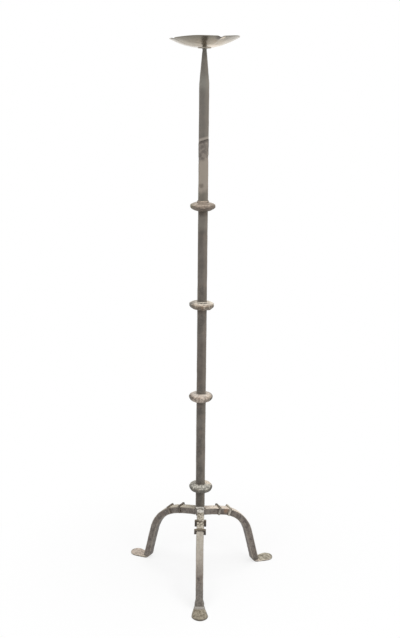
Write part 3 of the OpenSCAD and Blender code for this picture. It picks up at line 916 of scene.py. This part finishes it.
def collar_tones(iron, z, side_shade, rings=(), streak=0, low=0, spots=()):
    """One collar at height z: painted shade on its sides and lower part, rings on the front of its top (dark
    ones painted shade in the crease round the hub, pale ones a settled film), streaks and spots.
    """
    # painted shade on faces that look left and right
    iron.tone(iron.step(iron.sums("ABSOLUTE", iron.facing("X")), 0.3, 0.9), 0.75, side_shade)
    reach, height = iron.reach(), iron.along("Z")
    forward = iron.sums("DIVIDE", iron.along("Y"), reach)
    front_top = iron.times(iron.step(forward, -0.9, -0.7, 1, 0.2), iron.step(height, z, z + 2))
    # dark rings are painted shade in the crease round the hub; pale rings are a settled pale film
    for inner, outer, amount, tone in rings:
        iron.tone(iron.times(iron.zone(reach, inner, outer, 1), front_top), amount, tone)
    lines = iron.cloud(4.5, 2, stretch=(1, 1, 0.1))
    iron.tone(iron.step(lines, 0.5, 0.6), streak, (92, 90, 84))
    iron.tone(iron.step(lines, 0.5, 0.4), streak, (196, 192, 180))
    # painted shade on the collar's lower part
    iron.tone(iron.step(height, z + 3.5, z + 0.5), low, (82, 77, 69))
    iron.spots(spots)


def foot_tones(iron, foot_dark, foot_light, shank=None, spots=()):
    """The hammered top of the flat foot; its rim's upright faces darker, partly its own dark scale and partly
    painted shade; a painted highlight on the bend above it; the tone of the shank.
    """
    height, up = iron.along("Z"), iron.facing("Z")
    if shank:
        dull, bright = (tuple(share * c for c in shank) for share in (0.86, 1.13))
        flecks = iron.cloud(5, 3, 0.6, offset=(5, 2, 9))
        iron.cover(iron.step(height, 40, 84, 0.8, 0), iron.mottled(dull, bright, flecks))
        # painted highlight along the bend from the shank into the foot
        iron.tone(iron.zone(height, 6, 11, 2), 0.8, (188, 183, 176))
    pad = iron.times(iron.step(up, 0.8, 0.97), iron.step(height, 4.5, 6, 1, 0))
    iron.cover(pad, iron.mottled(foot_dark, foot_light, iron.cloud(6, 3, 0.65), 0.33, 0.67))
    iron.tone(iron.step(iron.reach(), shank_r(0) + 51, shank_r(0) + 57), 0.55, (92, 85, 74))
    iron.spots(spots)
    # rim's upright faces darker: partly dark scale, partly painted shade
    rim = iron.times(iron.step(up, 0.75, 0.4), iron.step(height, 3.2, 4.2, 1, 0))
    iron.tone(rim, 0.7, (78, 72, 64))


def front_leg_tones(iron):
    """The front leg: lumpy weld at the root, mottled length to the bands, dark shank, olive foot."""
    reach, height = iron.reach(), iron.along("Z")
    flecks = iron.step(iron.cloud(6, 2, 0.6, offset=(1, 6, 3)), 0.4, 0.6)
    up = iron.step(iron.facing("Z"), 0.3, 0.7)
    mottled = iron.blend(flecks, (100, 92, 78), (178, 170, 156))
    iron.cover(iron.times(up, iron.zone(reach, 20, 95, 8)), mottled)
    pale = iron.times(iron.step(flecks, 0, 1), iron.times(up, iron.step(reach, 90, 100)))
    iron.tone(pale, 0.4, (150, 141, 128))
    iron.tone(iron.zone(height, 98, 150, 12), 0.4, (168, 159, 148))
    root = iron.times(iron.zone(reach, 5, 26, 4), iron.step(height, 198, 206))
    iron.cover(iron.times(root, iron.zone(iron.along("X"), -8.5, 11.5, 1.5)), weld_lumps(iron))
    foot_tones(iron, (100, 92, 77), (158, 149, 132), (108, 103, 97))


def inner_band(iron):
    """1 on the inner of a leg's two bands and 0 on the outer."""
    return iron.step(iron.reach(), 72, 82, 1, 0)


def band_tones(iron, outer_top, inner_top, spots=()):
    """Tones of a leg's two bands: one for each top, and spots."""
    tops = iron.blend(inner_band(iron), outer_top, inner_top)
    iron.cover(iron.times(iron.step(iron.facing("Z"), 0.45, 0.75), 0.8), tops)
    iron.spots(spots)


def front_band_tones(iron):
    """The front leg's bands: the inner one's top is pale and mottled like the leg, the outer one's olive."""
    mottled = iron.mottled((122, 113, 99), (214, 206, 192), iron.cloud(6, 2, 0.6, offset=(1, 6, 3)))
    iron.tone(iron.step(iron.facing("Z"), 0.45, 0.75), 0.8, (92, 82, 64))
    over_leg = iron.times(iron.zone(iron.along("X"), -3, 10.5, 2), inner_band(iron))
    iron.cover(iron.times(over_leg, 0.85), mottled)


def pan_tones(iron):
    """The underside has painted reflected light, paler on the right and palest low on the right, and a
    painted highlight on the fold at the front notch;
    painted shade darkens both sides towards the rim; there is a dark spot at each notch; the inside has a
    dull ring round the candle."""
    share, across = iron.sums("DIVIDE", iron.reach(), PAN_R), iron.along("X")
    underside = iron.step(iron.facing("Z"), 0.1, -0.1)
    # painted reflected light on the right of the underside
    right = iron.times(iron.step(across, 5, 60), underside)
    iron.tone(right, 0.5, (220, 209, 194))
    # painted reflection, palest low on the right of the underside
    low = iron.times(iron.step(across, 4, 16), iron.step(share, 0.6, 0.35))
    iron.tone(iron.times(low, underside), 0.9, (242, 230, 216))
    # painted shade towards the rim, stronger on the right
    iron.tone(iron.step(share, 0.65, 1), 0.85, (94, 92, 82))
    iron.tone(iron.times(right, iron.step(share, 0.6, 0.9)), 0.5, (84, 80, 68))
    # a dark spot at each notch
    iron.spots([(pan_place(at - 4, 0.93, 0), 9, 0.85, (56, 46, 38)) for at, _ in NOTCHES])
    # painted highlight on the fold at the front notch
    iron.spots([(pan_place(-57, 0.9, 0), 7, 0.75, (228, 218, 202))], underside)
    ragged = iron.times(iron.cloud(12, 4, 0.6), 0.3, share)
    inside = iron.times(iron.step(ragged, 0.34, 0.6, 1, 0), iron.minus(1, underside))
    iron.tone(inside, 0.7, (96, 86, 72))


def front_side(where, r, off=BAND_WIRE):
    """A place on the side of a leg that faces the photograph, or off it by a band's arm."""
    side = directions(where)[1]
    reach = LEG_W / 2 + off
    return ring_point(radians(AZIMUTHS[where]), r, leg_height(r)) + side * (reach if side.y < 0 else -reach)


COLLAR_Z = {"top": 1078, "second": 811, "third": 549, "lowest": 278}
LEG_IRON = dict(dark=(84, 76, 71), light=(126, 118, 110), size=16, speckle=0.5)
BAND_IRON = dict(dark=(54, 47, 42), light=(88, 80, 71), stain=(96, 76, 59), size=10, dusty=0.3)
COLLAR_IRON = dict(rough=0.62, metal=0.1, relief=0.8, blow=9, dust_from=0.7, dust_to=0.97, over=collar_tones)
FINISHES = {
    "stem": dict(dark=(75, 70, 64), light=(101, 95, 88), wear=0.15, dusty=0.3, relief=0.4, under=stem_tones),
    "top collar": dict(
        dark=(102, 92, 82), light=(146, 132, 119), stain=(110, 106, 80), worn=(184, 168, 151), wear=0.9,
        dust=(190, 180, 168), dusty=0.75, sooty=0.6, speckle=0.7, size=12, z=COLLAR_Z["top"], **COLLAR_IRON,
        # rings: painted shade in the crease round the hub
        side_shade=(112, 104, 93), rings=[(19, 29, 0.9, (104, 92, 80))], spots=[
            ((-30, -10, 1076), 12, 0.5, (122, 119, 94)), ((25, -19, 1079), 14, 0.6, (108, 97, 87))]),
    "second collar": dict(
        dark=(92, 80, 68), light=(138, 121, 104), stain=(132, 102, 82), worn=(188, 170, 152), wear=0.8,
        dust=(214, 205, 192), dusty=0.85, sooty=0.55, speckle=0.8, size=12, z=COLLAR_Z["second"],
        **COLLAR_IRON, side_shade=(104, 97, 88), streak=0.3,
        # rings: a pale settled film round the hub, then painted shade in the crease
        rings=[(15, 19, 0.6, (212, 202, 188)), (19.3, 25, 0.95, (54, 45, 37))], spots=[
            ((26, 2, 817), 14, 0.7, (222, 213, 198)), ((-31, -10, 812), 13, 0.8, (104, 101, 97))]),
    "third collar": dict(
        dark=(92, 81, 72), light=(192, 178, 164), stain=(150, 122, 100), wear=0.2, dust=(214, 205, 194),
        dusty=0.6, sooty=0.1, speckle=1.4, size=7, z=COLLAR_Z["third"], **COLLAR_IRON, side_shade=(98, 92, 84),
        spots=[((24, -15, 554), 9, 0.55, (186, 172, 154)), ((28, -17, 545), 6.5, 0.9, (48, 42, 35)),
               ((-10, 2, 558), 16, 0.6, (216, 210, 202))]),
    "lowest collar": dict(
        dark=(112, 110, 103), light=(150, 147, 139), stain=(146, 130, 112), wear=0.4, dust=(190, 186, 176),
        dusty=0.6, sooty=0.95, speckle=0.7, size=10, z=COLLAR_Z["lowest"], **COLLAR_IRON,
        # low: strength of the painted shade on the collar's lower part
        side_shade=(92, 89, 81), streak=0.7, low=0.7, spots=[((20, 8, 286), 16, 0.75, (224, 209, 190))]),
    "front leg": dict(dust=(166, 160, 149), dusty=0.95, over=front_leg_tones, **LEG_IRON),
    "left leg": dict(dust=(193, 184, 166), dusty=1, **LEG_IRON, over=foot_tones, foot_dark=(150, 138, 126),
                     foot_light=(200, 186, 172)),
    "right leg": dict(
        dust=(226, 213, 197), dusty=1, **LEG_IRON, over=foot_tones, foot_dark=(112, 105, 91),
        foot_light=(188, 181, 164), spots=[
            (front_side("right", 79, 0) + UP * 3, 9, 0.6, (138, 106, 80)),
            ((166, 70, 9), 13, 0.4, (78, 75, 70))]),
    "front band": dict(over=front_band_tones, **BAND_IRON),
    "left band": dict(**BAND_IRON, over=band_tones, outer_top=(84, 74, 62), inner_top=(78, 68, 56), spots=[
        (front_side("left", 98), 12, 0.6, (124, 114, 103))]),
    "right band": dict(
        dark=(92, 84, 74), light=(150, 143, 128), size=8, dusty=0.2,
        over=band_tones, outer_top=(196, 180, 160), inner_top=(88, 78, 66), spots=[
            (front_side("right", 89), 12, 0.8, (184, 179, 168)),
            (front_side("right", 89, -10) + UP * 14, 13, 0.7, (182, 176, 163)),
            (front_side("right", 56), 9, 0.6, (150, 146, 139))]),
    "pan": dict(dark=(116, 106, 88), light=(144, 133, 113), stain=(138, 114, 92), wear=0.3, dusty=0.5,
                sooty=0, rough=0.18, metal=0.75, wax=0.8, relief=0.1, speckle=0.15, over=pan_tones),
    "joint": dict(dark=(72, 68, 62), light=(104, 99, 92), stain=(110, 84, 64)),
    "washer": dict(dark=(180, 174, 162), light=(196, 191, 178), stain=(164, 155, 140), sooty=0, rough=0.5,
                   metal=0.3, wax=0.1, relief=0.1),
}


# ------------ studio

def light_path(net):
    """1 where the camera, a reflection or a view through glass looks, else 0."""
    path = net.tree.nodes.new("ShaderNodeLightPath").outputs
    seen = net.sums("MAXIMUM", path["Is Camera Ray"], path["Is Glossy Ray"])
    return net.sums("MAXIMUM", seen, path["Is Transmission Ray"])


def make_world(ambient):
    """Plain white to look at, and a dimmer white as light."""
    world = bpy.data.worlds.new("studio")
    bpy.context.scene.world = world
    world.use_nodes = True
    net = Surface(world.node_tree)
    net.fill(world.node_tree.nodes["Background"], Color=(1, 1, 1, 1),
             Strength=net.times(light_path(net), 1 - ambient, ambient))


def make_floor():
    """A round pale floor that fades to plain white away from the object and keeps its shadow."""
    count, rings, below = 96, [0.02, 0.5, 1, 2, 4, 9], -0.0002
    points = [(r * cos(t), r * sin(t), below) for r in rings for t in circle(count)]
    faces = [tuple(range(count))]
    for a in range(0, count * (len(rings) - 1), count):
        steps = [(j, (j + 1) % count) for j in range(count)]
        faces += [(a + j, a + count + j, a + count + k, a + k) for j, k in steps]
    mesh = bpy.data.meshes.new("floor")
    mesh.from_pydata(points, [], faces)
    floor = new_object("floor", mesh)
    material, shader, net = new_material("pale floor")
    net.fill(shader, Base_Color=(0.82, 0.82, 0.82, 1), Roughness=0.9)
    whiter = net.step(net.reach(), 150, 700, 0.75, 1)
    seen = net.times(whiter, light_path(net))
    net.fill(net.tree.nodes["Material Output"],
             Surface=net.add("MixShader", seen, shader.outputs[0], net.add("Emission")))
    mesh.materials.append(material)


LAMPS = (  # name, place and target in metres, size and power
    ("overhead soft light", (0.3, -0.3, 3.4), (0, 0, 0.6), 2.4, 85),
    ("left soft light", (-1.6, -2.6, 2.2), (0, 0, 0.8), 1.8, 26),
    ("right soft light", (1.8, -2.4, 1.8), (0, 0, 0.8), 1.8, 28),
)


def add_lamp(name, place, target, size, power):
    lamp = bpy.data.lights.new(name, "AREA")
    lamp.shape, lamp.size, lamp.energy = "DISK", size, power
    holder = new_object(name, lamp)
    holder.location = place
    holder.rotation_euler = (Vector(target) - Vector(place)).to_track_quat("-Z", "Y").to_euler()
    holder.visible_camera = holder.visible_glossy = False


def make_camera():
    """The photograph's view: 2.28 m away, 1.35 m up, looking 14.35 degrees down."""
    place, down, roll = (-0.005218, -2.2784, 1.3531), 0.2504, 0.0093
    data = bpy.data.cameras.new("camera")
    data.sensor_width, data.lens = 36, 48.825
    camera = new_object("camera", data)
    turn = Matrix.Rotation(pi / 2 - down, 4, "X") @ Matrix.Rotation(roll, 4, "Z")
    camera.matrix_world = Matrix.Translation(place) @ turn
    bpy.context.scene.camera = camera


# ------------ the whole stand

COLLARS = (  # place on the stem, node, shift to the right, seed of the dents and other features
    ("top", "knop_1", -0.6, 1, dict(flats=True, hub=True, worn_at=18)),
    ("second", "knop_2", -1.2, 2, dict(flats=True, lean=-0.03, worn_at=18, lump=(21, -19, 801))),
    ("third", "knop_3", -0.8, 3, {}),
    ("lowest", "knop_4", 1.3, 4, dict(lean=-0.02, worn_at=-32)),
)
LEGS = (("front", 2, 45, 27, 1), ("left", 1, 42, 23, 2), ("right", 0, 42, 23, 3))  # eye, widths and seed


def build():
    finish = {name: iron_finish(name + " iron", **looks) for name, looks in FINISHES.items()}
    make_stem(finish["stem"])
    for at, node, shift, seed, features in COLLARS:
        collar("collar_" + at, node, COLLAR_Z[at], shift, finish[at + " collar"], seed, **features)
    legs = [make_leg(where, eye, wide, ankle, finish[where + " leg"], seed)
            for where, eye, wide, ankle, seed in LEGS]
    for start, end, seed in BEADS:
        add_bead(legs[0], start, end, seed)
    for where, (inner, outer) in BANDS.items():
        make_band(where, "inner", inner, finish[where + " band"], 4)
        make_band(where, "outer", outer, finish[where + " band"], 6)
    make_pan(finish["pan"])
    make_joint_pieces(finish["joint"], finish["washer"])


make_camera()
make_world(0.34)
make_floor()
for lamp in LAMPS:
    add_lamp(*lamp)
build()

bpy.context.scene.view_settings.view_transform = "Standard"
